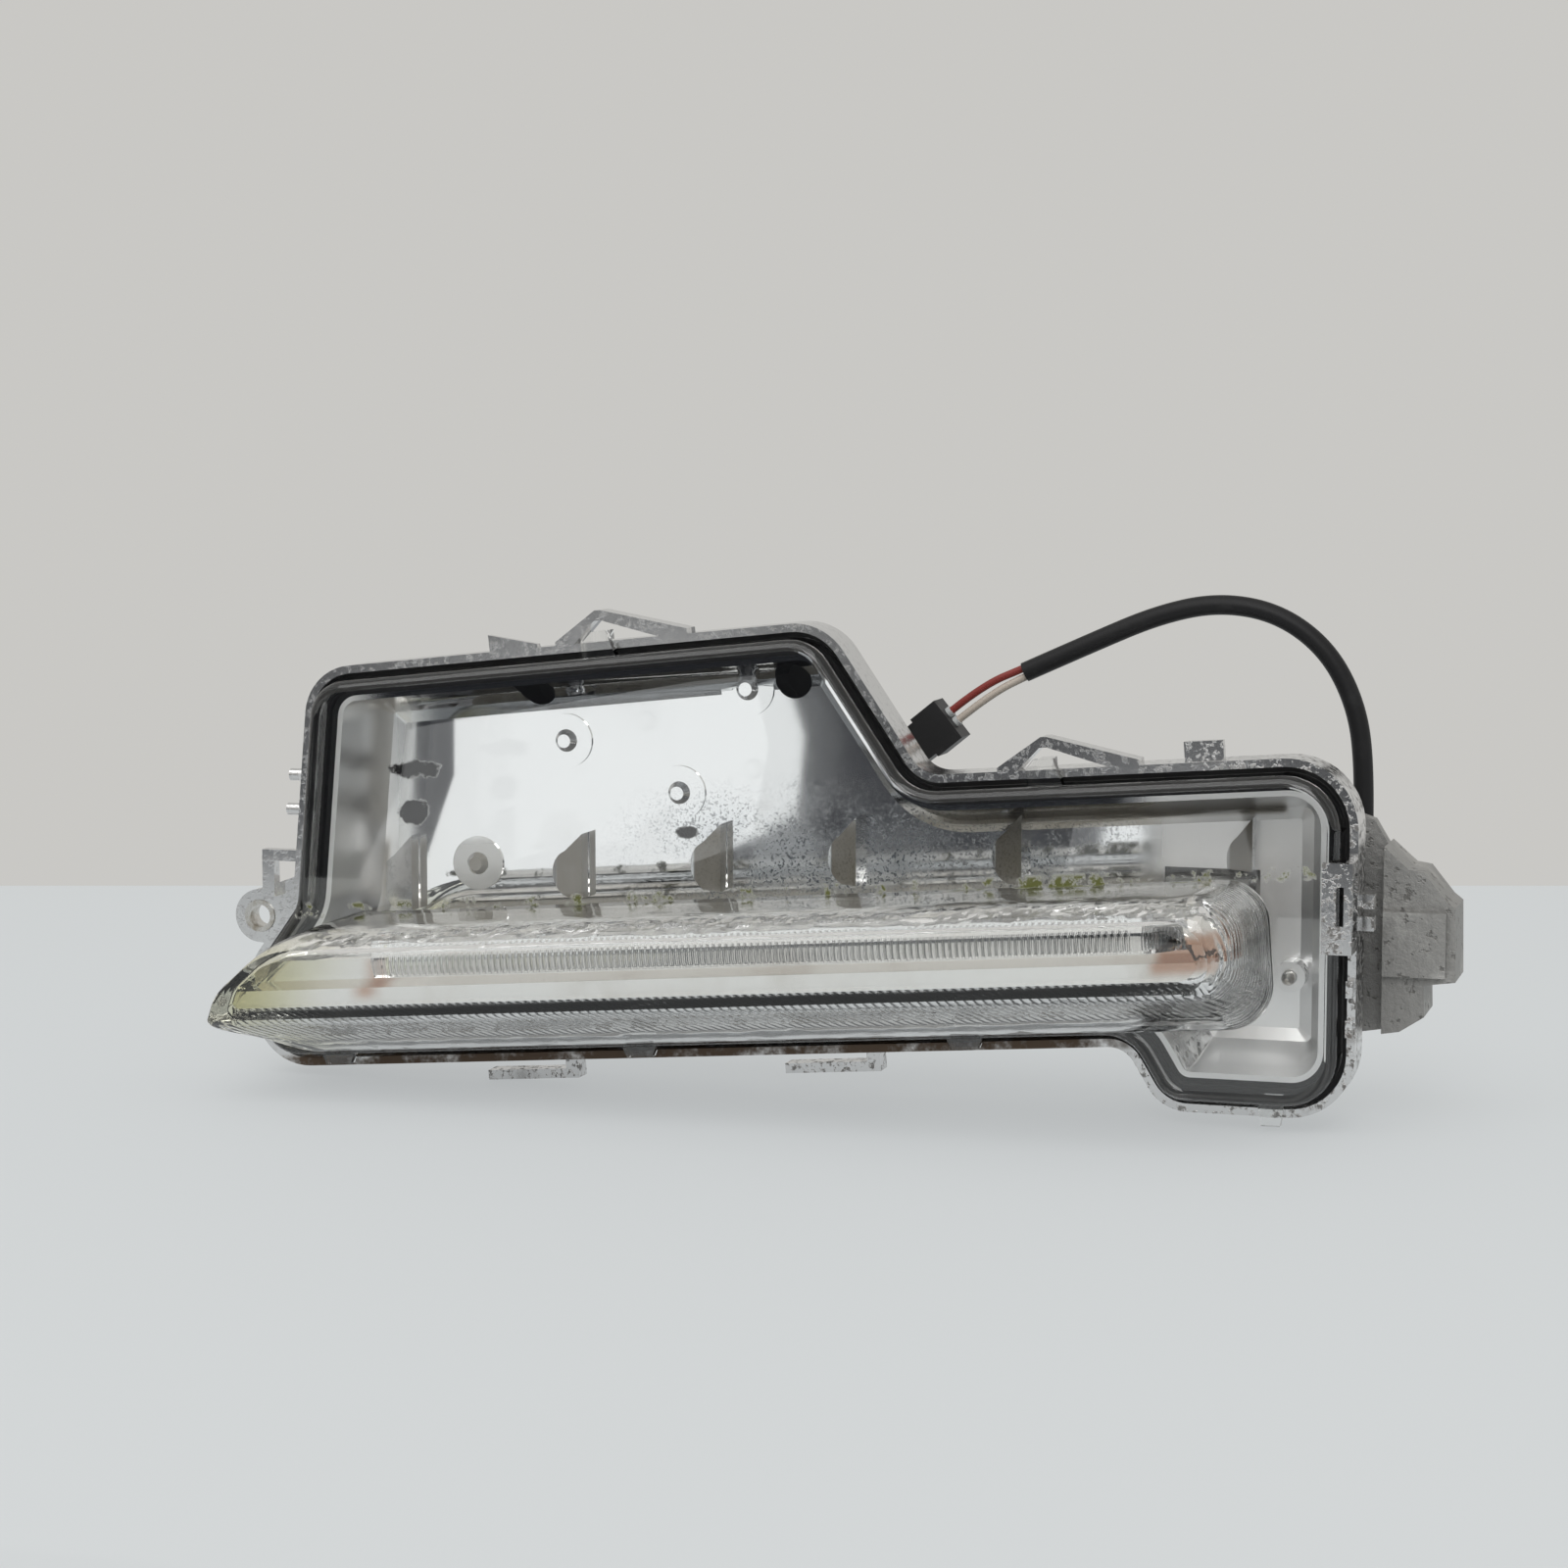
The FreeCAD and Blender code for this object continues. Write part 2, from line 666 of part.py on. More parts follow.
def make_sink():
    x = right_edge
    outline = [
        (sink_left, led_z - 21.0), (sink_left, led_z + 14.0), (sink_left + 6.0, led_z + 20.0),
        (x - 3.8, 29.9), (x - 0.2, 28.7), (x + 2.8, 23.7), (x + 8.1, 19.0), (x + 11.3, 18.5),
        (x + sink_reach - 2.2, 12.4), (x + sink_reach - 0.3, 10.9), (x + sink_reach, -5.0),
        (x + 11.7, -5.9), (x + 11.9, -12.8), (x + 6.7, -16.2), (x - 2.8, -17.8), (sink_left + 6.0, -17.8),
    ]
    plate = prism(polygon(outline, sink_front), sink_back)
    block = prism(polygon(outline, sink_front - 7.0), sink_back + 5.0)
    block = block.common(box((x + 2.8, sink_front - 7.0, -30.0), (x + 40.0, sink_back + 5.0, 40.0)))
    step = box((x + 3.0, sink_front - 9.0, -4.0), (x + sink_reach - 2.0, sink_front, 10.0))
    pieces = [block, step]
    pieces.append(centred_box(board_width, board_height, pedestal_front, sink_front + 1.0))
    for i in range(sink_fin_count):
        fin_x = led_x + (i - (sink_fin_count - 1) / 2) * sink_fin_pitch
        low = (fin_x - sink_fin_wall / 2, sink_back - 0.5, led_z - 24.0)
        high = (fin_x + sink_fin_wall / 2, sink_back + sink_fin_height, led_z + 17.0)
        pieces.append(box(low, high))
    tower = box((tower_x - 6.3, sink_back - 0.5, tower_top - 14.0), (tower_x + 6.3, tower_y + 6.0, tower_top))
    pieces.append(tower)
    sink = plate.fuse(pieces)
    bore = Part.makeCylinder(sheath_radius + 1.6, 9.0, Vector(tower_x, tower_y, tower_top - 9.0))
    sink = sink.cut(bore)
    for sx, sz in screw_places:
        sink = sink.cut(rod_y(screw_radius + 0.4, sx, sz, sink_front - 1.0, sink_back + 1.0))
    return with_screw_holes(sink).removeSplitter()


def make_sink_screws():
    screws = []
    for x, z in screw_places:
        head_top = sink_back + screw_head_height
        head = rod_y(screw_head_radius, x, z, sink_back, head_top)
        head = head.cut(rod_y(screw_head_radius * 0.4, x, z, sink_back + 1.0, head_top + 1.0))
        shank = rod_y(screw_radius, x, z, sink_back - screw_length, sink_back)
        tip = Part.makeCone(screw_radius, 0.4, 2.0, Vector(x, sink_back - screw_length, z), Vector(0, -1, 0))
        screws.append(head.fuse([shank, tip]))
    return Part.makeCompound(screws)


def make_grommet():
    up = Vector(0, 0, 1)
    base = Vector(tower_x, tower_y, tower_top)
    plug = Part.makeCylinder(sheath_radius + 1.5, 8.5, base - up * 8.5, up)
    flange = Part.makeCylinder(grommet_flange, 2.0, base, up)
    taper = Part.makeCone(sheath_radius + 1.9, sheath_radius + 0.6, grommet_length - 2.0, base + up * 2.0, up)
    return plug.fuse([flange, taper]).removeSplitter()


def tube(route, radius, name):
    """Round tube along straight runs joined by arcs as large as the runs allow."""
    points = [Vector(*p) for p in route]
    edges = []
    radii = []
    last = points[0]
    for i in range(1, len(points) - 1):
        before = points[i] - points[i - 1]
        after = points[i + 1] - points[i]
        turn = before.getAngle(after)
        reach = 0.45 * min(before.Length, after.Length)
        bend = reach / math.tan(turn / 2)
        radii.append(bend)
        start = points[i] - before.normalize() * reach
        end = points[i] + after.normalize() * reach
        toward = (start + end) * 0.5 - points[i]
        centre_gap = math.hypot(bend, reach)
        middle = points[i] + toward.normalize() * (centre_gap - bend)
        edges.append(Part.LineSegment(last, start).toShape())
        edges.append(Part.Arc(start, middle, end).toShape())
        last = end
    edges.append(Part.LineSegment(last, points[-1]).toShape())
    path = Part.Wire(edges)
    first = points[1] - points[0]
    section = Part.Wire([Part.makeCircle(radius, points[0], first)])
    shape = path.makePipeShell([section], True, False)
    print(name, "length %.1f" % path.Length, "radii", [round(r, 1) for r in radii])
    print(name, "volume ratio %.4f" % (shape.Volume / (math.pi * radius ** 2 * path.Length)))
    return shape


sheath_end = Vector(*sheath_route[-1])
sheath_way = (sheath_end - Vector(*sheath_route[-2])).normalize()
plug_turn = math.radians(plug_angle)
plug_way = Vector(-math.cos(plug_turn), 0, -math.sin(plug_turn))
plug_side = Vector(-math.sin(plug_turn), 0, math.cos(plug_turn))
plug_back = Vector(158.8, 26.4, 48.0)


def wire_route(side):
    across = Vector(-sheath_way.z, 0, sheath_way.x).normalize() * (-side)
    seal_face = plug_back - plug_way * plug_seal_stand + plug_side * (side * plug_pitch / 2)
    start = sheath_end - sheath_way * (wire_bore_depth - 0.2) + across * wire_offset
    mouth = sheath_end - sheath_way * 0.6 + across * (wire_offset + 0.03)
    before_plug = seal_face - plug_way * 9.4
    return [tuple(start), tuple(mouth), tuple(before_plug), tuple(seal_face)]


def make_sheath():
    shape = tube(sheath_route, sheath_radius, "cable_sheath")
    bore = Part.makeCylinder(sheath_radius - 0.4, wire_bore_depth + 2.0, sheath_end + sheath_way * 2.0,
                             sheath_way * -1)
    return shape.cut(bore)


def plug_block(start, end, width, y_low, y_high):
    """Block along the plug: start and end are distances from its back face."""
    half = width / 2
    places = [plug_back + plug_way * start + plug_side * half, plug_back + plug_way * end + plug_side * half,
              plug_back + plug_way * end - plug_side * half, plug_back + plug_way * start - plug_side * half]
    return prism(polygon([(p.x, p.z) for p in places], y_low), y_high)


plug_low = plug_back.y - plug_depth / 2
plug_high = plug_back.y + plug_depth / 2


def make_plug():
    collar = plug_block(0.0, 7.0, plug_width, plug_low, plug_high)
    body = plug_block(7.0, plug_length, plug_width - 1.6, plug_low, plug_high - 0.8)
    rib = plug_block(7.0, plug_length - 3.0, 2.0, plug_high - 0.8, plug_high)
    plug = collar.fuse([body, rib])
    for side in (-1, 1):
        centre = plug_back + plug_side * (side * plug_pitch / 2)
        plug = plug.cut(Part.makeCylinder(plug_seal_radius + 0.02, 4.0, centre - plug_way, plug_way))
        slot = plug_block(plug_length - 9.0, plug_length + 1.0, 1.9, plug_back.y - 1.2, plug_back.y + 1.2)
        slot.translate(plug_side * (side * plug_pitch / 2))
        plug = plug.cut(slot)
    return plug.removeSplitter()


def make_plug_lock():
    low = plug_high + slip
    bar = plug_block(1.0, plug_length - 4.0, 4.4, low, low + 1.2)
    foot = plug_block(1.0, 3.4, 4.4, plug_high, low + 0.6)
    hook = plug_block(plug_length - 6.0, plug_length - 4.0, 4.4, low + 1.0, low + 1.9)
    return bar.fuse([foot, hook]).removeSplitter()


def make_plug_seals():
    seals = []
    for side in (-1, 1):
        centre = plug_back + plug_side * (side * plug_pitch / 2) - plug_way * plug_seal_stand
        seals.append(Part.makeCylinder(plug_seal_radius, plug_seal_stand + 3.0, centre, plug_way))
    return Part.makeCompound(seals)


def make_plug_terminals():
    terminals = []
    for side in (-1, 1):
        pin = plug_block(plug_length - 9.0, plug_length - 1.5, 1.5, plug_back.y - 0.8, plug_back.y + 0.8)
        slot = plug_block(plug_length - 7.0, plug_length, 0.9, plug_back.y - 0.4, plug_back.y + 0.4)
        pin = pin.cut(slot)
        pin.translate(plug_side * (side * plug_pitch / 2))
        terminals.append(pin)
    return Part.makeCompound(terminals)


def plug_cradle():
    """Seat for the plug on the back wall: a pad with a low rib on each side."""
    inside = rim_prism(channel_inset, back_outer - cove_drop / 2, plug_high)
    seat = plug_block(7.5, plug_length + 1.0, plug_width + 2.4, back_outer - cove_drop / 2, plug_low)
    ribs = plug_block(8.0, plug_length, plug_width + 2.4, back_outer, plug_low + 3.0)
    ribs = ribs.cut(plug_block(7.0, plug_length + 2.0, plug_width - 1.6 + 2 * slip, back_outer, plug_high))
    return [seat.common(inside), ribs.common(inside)]


def make_vent_cap(x, z):
    neck = vent_radius + vent_wall
    low = back_outer + near_gap
    high = back_outer + vent_length + cap_wall
    cap = rod_y(neck + cap_wall, x, z, low, high)
    rim = [e for e in cap.Edges if e.BoundBox.YMin > high - 0.01]
    cap = cap.makeFillet(cap_wall * 0.6, rim)
    return cap.cut(rod_y(neck + bond_gap, x, z, low - 1.0, back_outer + vent_length + bond_gap))


os.makedirs("parts", exist_ok=True)
export("housing", make_housing())
export("ear_bush", make_bush())
export("lens", make_lens())
export("sealant_bead", make_sealant())
export("light_guide", make_guide())
export("guide_carrier", make_carrier())
export("bezel", make_bezel())
export("led_board", make_board())
export("leds", make_leds())
export("board_screws", make_board_screws())
export("thermal_pad", make_pad())
export("heatsink", make_sink())
export("heatsink_gasket", make_gasket())
export("heatsink_screws", make_sink_screws())
export("cable_grommet", make_grommet())
export("cable_sheath", make_sheath())
export("wire_red", tube(wire_route(1), wire_radius, "wire_red"))
export("wire_white", tube(wire_route(-1), wire_radius, "wire_white"))
export("plug_body", make_plug())
export("plug_lock", make_plug_lock())
export("plug_seals", make_plug_seals())
export("plug_terminals", make_plug_terminals())
for name, place in zip(["vent_cap_left", "vent_cap_right"], vent_places):
    export(name, make_vent_cap(*place))
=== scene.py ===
import json
import math
import bpy
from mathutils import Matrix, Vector


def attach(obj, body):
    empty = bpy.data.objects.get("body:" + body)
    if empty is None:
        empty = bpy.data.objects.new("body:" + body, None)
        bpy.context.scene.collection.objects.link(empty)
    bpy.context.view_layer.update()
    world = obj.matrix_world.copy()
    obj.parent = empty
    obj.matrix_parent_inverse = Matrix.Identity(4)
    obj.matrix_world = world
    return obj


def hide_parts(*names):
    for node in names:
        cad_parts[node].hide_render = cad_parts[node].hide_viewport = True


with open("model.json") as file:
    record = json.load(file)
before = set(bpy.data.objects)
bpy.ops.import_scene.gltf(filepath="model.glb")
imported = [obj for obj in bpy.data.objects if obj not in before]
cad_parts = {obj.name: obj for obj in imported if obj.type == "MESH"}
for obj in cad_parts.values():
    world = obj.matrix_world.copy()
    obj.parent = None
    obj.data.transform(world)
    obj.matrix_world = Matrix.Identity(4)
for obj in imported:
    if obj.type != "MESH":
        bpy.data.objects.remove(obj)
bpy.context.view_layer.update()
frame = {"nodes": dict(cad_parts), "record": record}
nodes = frame["nodes"]
print("frame loaded:", len(nodes), "nodes")

mm = 0.001
lamp = {"tilt": 4.35, "axisX": 131 * mm, "axisZ": -4.5 * mm}


# Small helpers for node trees
def newMaterial(name):
    mat = bpy.data.materials.new(name)
    mat.use_nodes = True
    tree = mat.node_tree
    return mat, tree, tree.nodes["Principled BSDF"]


def addNode(tree, kind, **values):
    made = tree.nodes.new(kind)
    for key, value in values.items():
        setattr(made, key, value)
    return made


def setValue(tree, socket, value):
    if isinstance(value, bpy.types.NodeSocket):
        tree.links.new(value, socket)
    else:
        socket.default_value = value


def mathNode(tree, operation, a, b=0.0, clamp=False):
    made = addNode(tree, "ShaderNodeMath", operation=operation, use_clamp=clamp)
    setValue(tree, made.inputs[0], a)
    setValue(tree, made.inputs[1], b)
    return made.outputs[0]


def times(tree, a, b):
    return mathNode(tree, "MULTIPLY", a, b)


def plus(tree, a, b):
    return mathNode(tree, "ADD", a, b)


def most(tree, a, b):
    return mathNode(tree, "MAXIMUM", a, b)


def opposite(tree, a):
    return mathNode(tree, "SUBTRACT", 1.0, a)


def objectCoords(tree):
    return addNode(tree, "ShaderNodeTexCoord").outputs["Object"]


def axes(tree, coords):
    split = addNode(tree, "ShaderNodeSeparateXYZ")
    tree.links.new(coords, split.inputs[0])
    return split.outputs


def stepUp(tree, value, low, high):
    made = addNode(tree, "ShaderNodeMapRange", interpolation_type="SMOOTHSTEP")
    setValue(tree, made.inputs["Value"], value)
    made.inputs["From Min"].default_value = low
    made.inputs["From Max"].default_value = high
    return made.outputs["Result"]


def band(tree, value, low, high, soft):
    rise = stepUp(tree, value, low - soft, low + soft)
    fall = stepUp(tree, value, high - soft, high + soft)
    return mathNode(tree, "SUBTRACT", rise, fall, clamp=True)


def noise(tree, coords, scale, detail=5.0, rough=0.6):
    made = addNode(tree, "ShaderNodeTexNoise")
    made.inputs["Scale"].default_value = scale
    made.inputs["Detail"].default_value = detail
    made.inputs["Roughness"].default_value = rough
    tree.links.new(coords, made.inputs["Vector"])
    return made.outputs["Fac"]


def mixColour(tree, share, first, second):
    made = addNode(tree, "ShaderNodeMix", data_type="RGBA")
    setValue(tree, made.inputs["Factor"], share)
    setValue(tree, made.inputs["A"], first)
    setValue(tree, made.inputs["B"], second)
    return made.outputs["Result"]


def mixNumber(tree, share, first, second):
    made = addNode(tree, "ShaderNodeMix", data_type="FLOAT")
    setValue(tree, made.inputs["Factor"], share)
    setValue(tree, made.inputs["A"], first)
    setValue(tree, made.inputs["B"], second)
    return made.outputs["Result"]


def addBump(tree, bsdf, height, distance, strength):
    made = addNode(tree, "ShaderNodeBump")
    made.inputs["Strength"].default_value = strength
    made.inputs["Distance"].default_value = distance
    tree.links.new(height, made.inputs["Height"])
    tree.links.new(made.outputs["Normal"], bsdf.inputs["Normal"])


def noseUp(tree, coords):
    # height above the nose's axis, across its tilt
    x, y, z = axes(tree, coords)
    turn = math.radians(lamp["tilt"])
    along = times(tree, mathNode(tree, "SUBTRACT", x, lamp["axisX"]), -math.sin(turn))
    up = times(tree, mathNode(tree, "SUBTRACT", z, lamp["axisZ"]), math.cos(turn))
    return plus(tree, along, up)


def grey(level, warm=0.0):
    return (level * (1 + warm), level, level * (1 - warm), 1.0)


# Finishes of the housing: mirror inside with painted dark reflections and painted shade, worn silver on
# the rim and outside, brown patches along the keel
housingLook = {
    "silver": grey(0.9),
    "rim": grey(0.68),
    "worn": grey(0.13, 0.06),
    # colour of the painted dark reflection and painted shade on the mirror
    "paintedDark": (0.07, 0.078, 0.092, 1.0),
    "keelBrownTone": (0.1, 0.066, 0.042, 1.0),
    "film": (0.55, 0.62, 0.7, 1.0),
    "mark": (0.1, 0.12, 0.15, 1.0),
    # colour of the painted dark reflection patches
    "paintedReflectionPatch": (0.03, 0.03, 0.032, 1.0),
    "stain": (0.46, 0.41, 0.31, 1.0),
    "mirrorRough": 0.02,
    "rimRough": 0.15,
    "dullRough": 0.7,
    "chipDepth": 0.25 * mm,
    "middle": (131 * mm, -20 * mm, 20 * mm),
    # painted dark reflection patches in millimetres: x, z, half width, half height
    "spots": [(33, 33.5, 8, 2.6), (32, 23.5, 4.5, 3.8), (99, 21, 3, 1.6)],
}


def insideMask(tree, coords, x, y, up):
    # faces that look towards the middle of the lamp, behind the lip of the channel
    normal = addNode(tree, "ShaderNodeTexCoord").outputs["Normal"]
    inward = addNode(tree, "ShaderNodeVectorMath", operation="SUBTRACT")
    inward.inputs[0].default_value = housingLook["middle"]
    tree.links.new(coords, inward.inputs[1])
    facing = addNode(tree, "ShaderNodeVectorMath", operation="DOT_PRODUCT")
    tree.links.new(inward.outputs["Vector"], facing.inputs[0])
    tree.links.new(normal, facing.inputs[1])
    mask = mathNode(tree, "GREATER_THAN", facing.outputs["Value"], 0.0)
    mask = times(tree, mask, mathNode(tree, "GREATER_THAN", y, -2.5 * mm))
    mask = times(tree, mask, band(tree, x, 11 * mm, 250 * mm, 0.1 * mm))
    overKeel = stepUp(tree, up, -17.0 * mm, -16.8 * mm)
    inLobe = stepUp(tree, x, 204 * mm, 204.2 * mm)
    return times(tree, mask, most(tree, overKeel, inLobe))


def metallisedPlastic():
    mat, tree, bsdf = newMaterial("metallisedPlastic")
    coords = objectCoords(tree)
    x, y, z = axes(tree, coords)
    up = noseUp(tree, coords)
    mirror = insideMask(tree, coords, x, y, up)
    outside = opposite(tree, mirror)
    # chipped plating outside, most of it at the right end and on the hooks
    specks = stepUp(tree, noise(tree, coords, 620.0, 3.0, 0.7), 0.52, 0.62)
    patches = stepUp(tree, noise(tree, coords, 55.0, 6.0, 0.65), 0.52, 0.7)
    rightSide = stepUp(tree, x, 200 * mm, 252 * mm)
    wear = most(tree, specks, times(tree, patches, 0.5))
    hooks = opposite(tree, stepUp(tree, up, -21.5 * mm, -20.5 * mm))
    worst = most(tree, rightSide, times(tree, hooks, 0.8))
    wear = times(tree, wear, plus(tree, times(tree, worst, 0.8), 0.1))
    wear = times(tree, wear, outside)
    # brown patches along the keel
    keel = band(tree, up, -20.5 * mm, -17.6 * mm, 0.6 * mm)
    leftOfLobe = opposite(tree, stepUp(tree, x, 196 * mm, 216 * mm))
    keel = times(tree, keel, plus(tree, times(tree, leftOfLobe, 0.75), 0.25))
    keelBrown = times(tree, keel, stepUp(tree, noise(tree, coords, 130.0, 6.0, 0.7), 0.3, 0.55))
    keelBrown = times(tree, keelBrown, outside)
    # dried water marks low on the mirror, thickest right of the middle
    lower = opposite(tree, stepUp(tree, up, 18 * mm, 42 * mm))
    spread = band(tree, x, 92 * mm, 190 * mm, 22 * mm)
    cloud = stepUp(tree, noise(tree, coords, 50.0, 4.0, 0.6), 0.3, 0.6)
    zone = times(tree, times(tree, lower, spread), cloud)
    zone = times(tree, zone, mirror)
    marks = stepUp(tree, noise(tree, coords, 1700.0, 3.0, 0.65), 0.53, 0.6)
    marks = times(tree, marks, zone)
    # painted dark reflections in ragged patches on the mirror
    ragged = times(tree, noise(tree, coords, 240.0, 5.0, 0.75), 2.6)
    paintedReflectionPatch = 0.0
    for spotX, spotZ, halfWide, halfHigh in housingLook["spots"]:
        aside = mathNode(tree, "DIVIDE", mathNode(tree, "SUBTRACT", x, spotX * mm), halfWide * mm)
        over = mathNode(tree, "DIVIDE", mathNode(tree, "SUBTRACT", z, spotZ * mm), halfHigh * mm)
        apart = plus(tree, mathNode(tree, "POWER", aside, 2.0), mathNode(tree, "POWER", over, 2.0))
        spot = opposite(tree, stepUp(tree, plus(tree, apart, ragged), 1.7, 2.1))
        paintedReflectionPatch = most(tree, paintedReflectionPatch, spot)
    paintedReflectionPatch = times(tree, paintedReflectionPatch, mirror)
    # the louvres are stained
    ridge = opposite(tree, stepUp(tree, y, 17.2 * mm, 17.7 * mm))
    ridge = times(tree, ridge, band(tree, up, 9 * mm, 29 * mm, 2 * mm))
    ridge = times(tree, ridge, band(tree, x, 24 * mm, 236 * mm, 1 * mm))
    ridge = times(tree, ridge, mirror)
    stain = times(tree, ridge, plus(tree, times(tree, cloud, 0.3), 0.45))
    # painted dark reflection on the mirror towards the lip
    paintedDark = opposite(tree, stepUp(tree, y, 7 * mm, 15 * mm))
    # and painted shade on the faces of the cove under the top and the slanting edge that turn down or left
    normal = axes(tree, addNode(tree, "ShaderNodeTexCoord").outputs["Normal"])
    cove = mathNode(tree, "MINIMUM", normal[0], normal[2])
    cove = opposite(tree, stepUp(tree, cove, -0.3, -0.12))
    cove = times(tree, cove, band(tree, x, 34 * mm, 168 * mm, 6 * mm))
    cove = times(tree, cove, stepUp(tree, up, 31 * mm, 33 * mm))
    paintedDark = most(tree, paintedDark, cove)
    # both ends are satin, and get less of the painted dark reflection
    satin = opposite(tree, band(tree, x, 30 * mm, 207 * mm, 6 * mm))
    paintedDark = times(tree, times(tree, paintedDark, mirror), mixNumber(tree, satin, 0.8, 0.15))
    colour = mixColour(tree, mirror, housingLook["rim"], housingLook["silver"])
    # painted dark reflection and painted shade on the mirror
    colour = mixColour(tree, paintedDark, colour, housingLook["paintedDark"])
    colour = mixColour(tree, wear, colour, housingLook["worn"])
    colour = mixColour(tree, keelBrown, colour, housingLook["keelBrownTone"])
    colour = mixColour(tree, times(tree, zone, 0.3), colour, housingLook["film"])
    colour = mixColour(tree, marks, colour, housingLook["mark"])
    # painted dark reflection patches on the mirror
    colour = mixColour(tree, paintedReflectionPatch, colour, housingLook["paintedReflectionPatch"])
    colour = mixColour(tree, stain, colour, housingLook["stain"])
    tree.links.new(colour, bsdf.inputs["Base Color"])
    dull = most(tree, keelBrown, times(tree, wear, 0.8))
    # dull and not metallic at the water marks, the louvre stains and the painted reflection patches
    soiledAndPaintedReflection = most(tree, paintedReflectionPatch, times(tree, marks, 0.6))
    soiledAndPaintedReflection = most(tree, soiledAndPaintedReflection, times(tree, ridge, 0.75))
    metal = opposite(tree, most(tree, dull, soiledAndPaintedReflection))
    tree.links.new(metal, bsdf.inputs["Metallic"])
    haze = stepUp(tree, noise(tree, coords, 24.0, 4.0, 0.55), 0.4, 0.75)
    mirrorRough = plus(tree, times(tree, haze, 0.04), housingLook["mirrorRough"])
    mirrorRough = plus(tree, mirrorRough, times(tree, zone, 0.1))
    mirrorRough = plus(tree, mirrorRough, times(tree, satin, 0.34))
    rough = mixNumber(tree, mirror, housingLook["rimRough"], mirrorRough)
    rough = mixNumber(tree, most(tree, dull, soiledAndPaintedReflection), rough, housingLook["dullRough"])
    tree.links.new(rough, bsdf.inputs["Roughness"])
    addBump(tree, bsdf, most(tree, wear, keelBrown), housingLook["chipDepth"], 0.5)
    return mat


# Clear mouldings: shadow rays pass, so that the light reaches what is behind them
lensLook = {
    "ior": 1.58,
    "clear": (0.985, 0.99, 0.985, 1.0),
    "thickTint": (0.77, 0.755, 0.55, 1.0),
    "groove": (0.62, 0.63, 0.63, 1.0),
    "moss": (0.13, 0.14, 0.035, 1.0),
    "shadow": (0.93, 0.93, 0.92, 1.0),
    "fluteTurn": 38,
    "fluteScale": 190.0,
    "endFluteScale": 230.0,
    "fluteDepth": 0.25 * mm,
}
guideLook = {"ior": 1.5, "clear": (0.97, 0.98, 0.99, 1.0), "rough": 0.02,
             "shadow": (0.95, 0.95, 0.95, 1.0), "lineScale": 450.0, "lineDepth": 0.06 * mm}
carrierLook = {"ior": 1.58, "clean": (0.8, 0.76, 0.66, 1.0), "stained": (0.5, 0.44, 0.32, 1.0),
               "clear": 0.5, "rough": 0.3, "shadow": (0.55, 0.53, 0.48, 1.0)}


def letShadowsThrough(tree, bsdf, tint):
    out = tree.nodes["Material Output"]
    path = addNode(tree, "ShaderNodeLightPath")
    passing = addNode(tree, "ShaderNodeBsdfTransparent")
    passing.inputs["Color"].default_value = tint
    mixed = addNode(tree, "ShaderNodeMixShader")
    tree.links.new(path.outputs["Is Shadow Ray"], mixed.inputs["Fac"])
    tree.links.new(bsdf.outputs["BSDF"], mixed.inputs[1])
    tree.links.new(passing.outputs["BSDF"], mixed.inputs[2])
    tree.links.new(mixed.outputs["Shader"], out.inputs["Surface"])


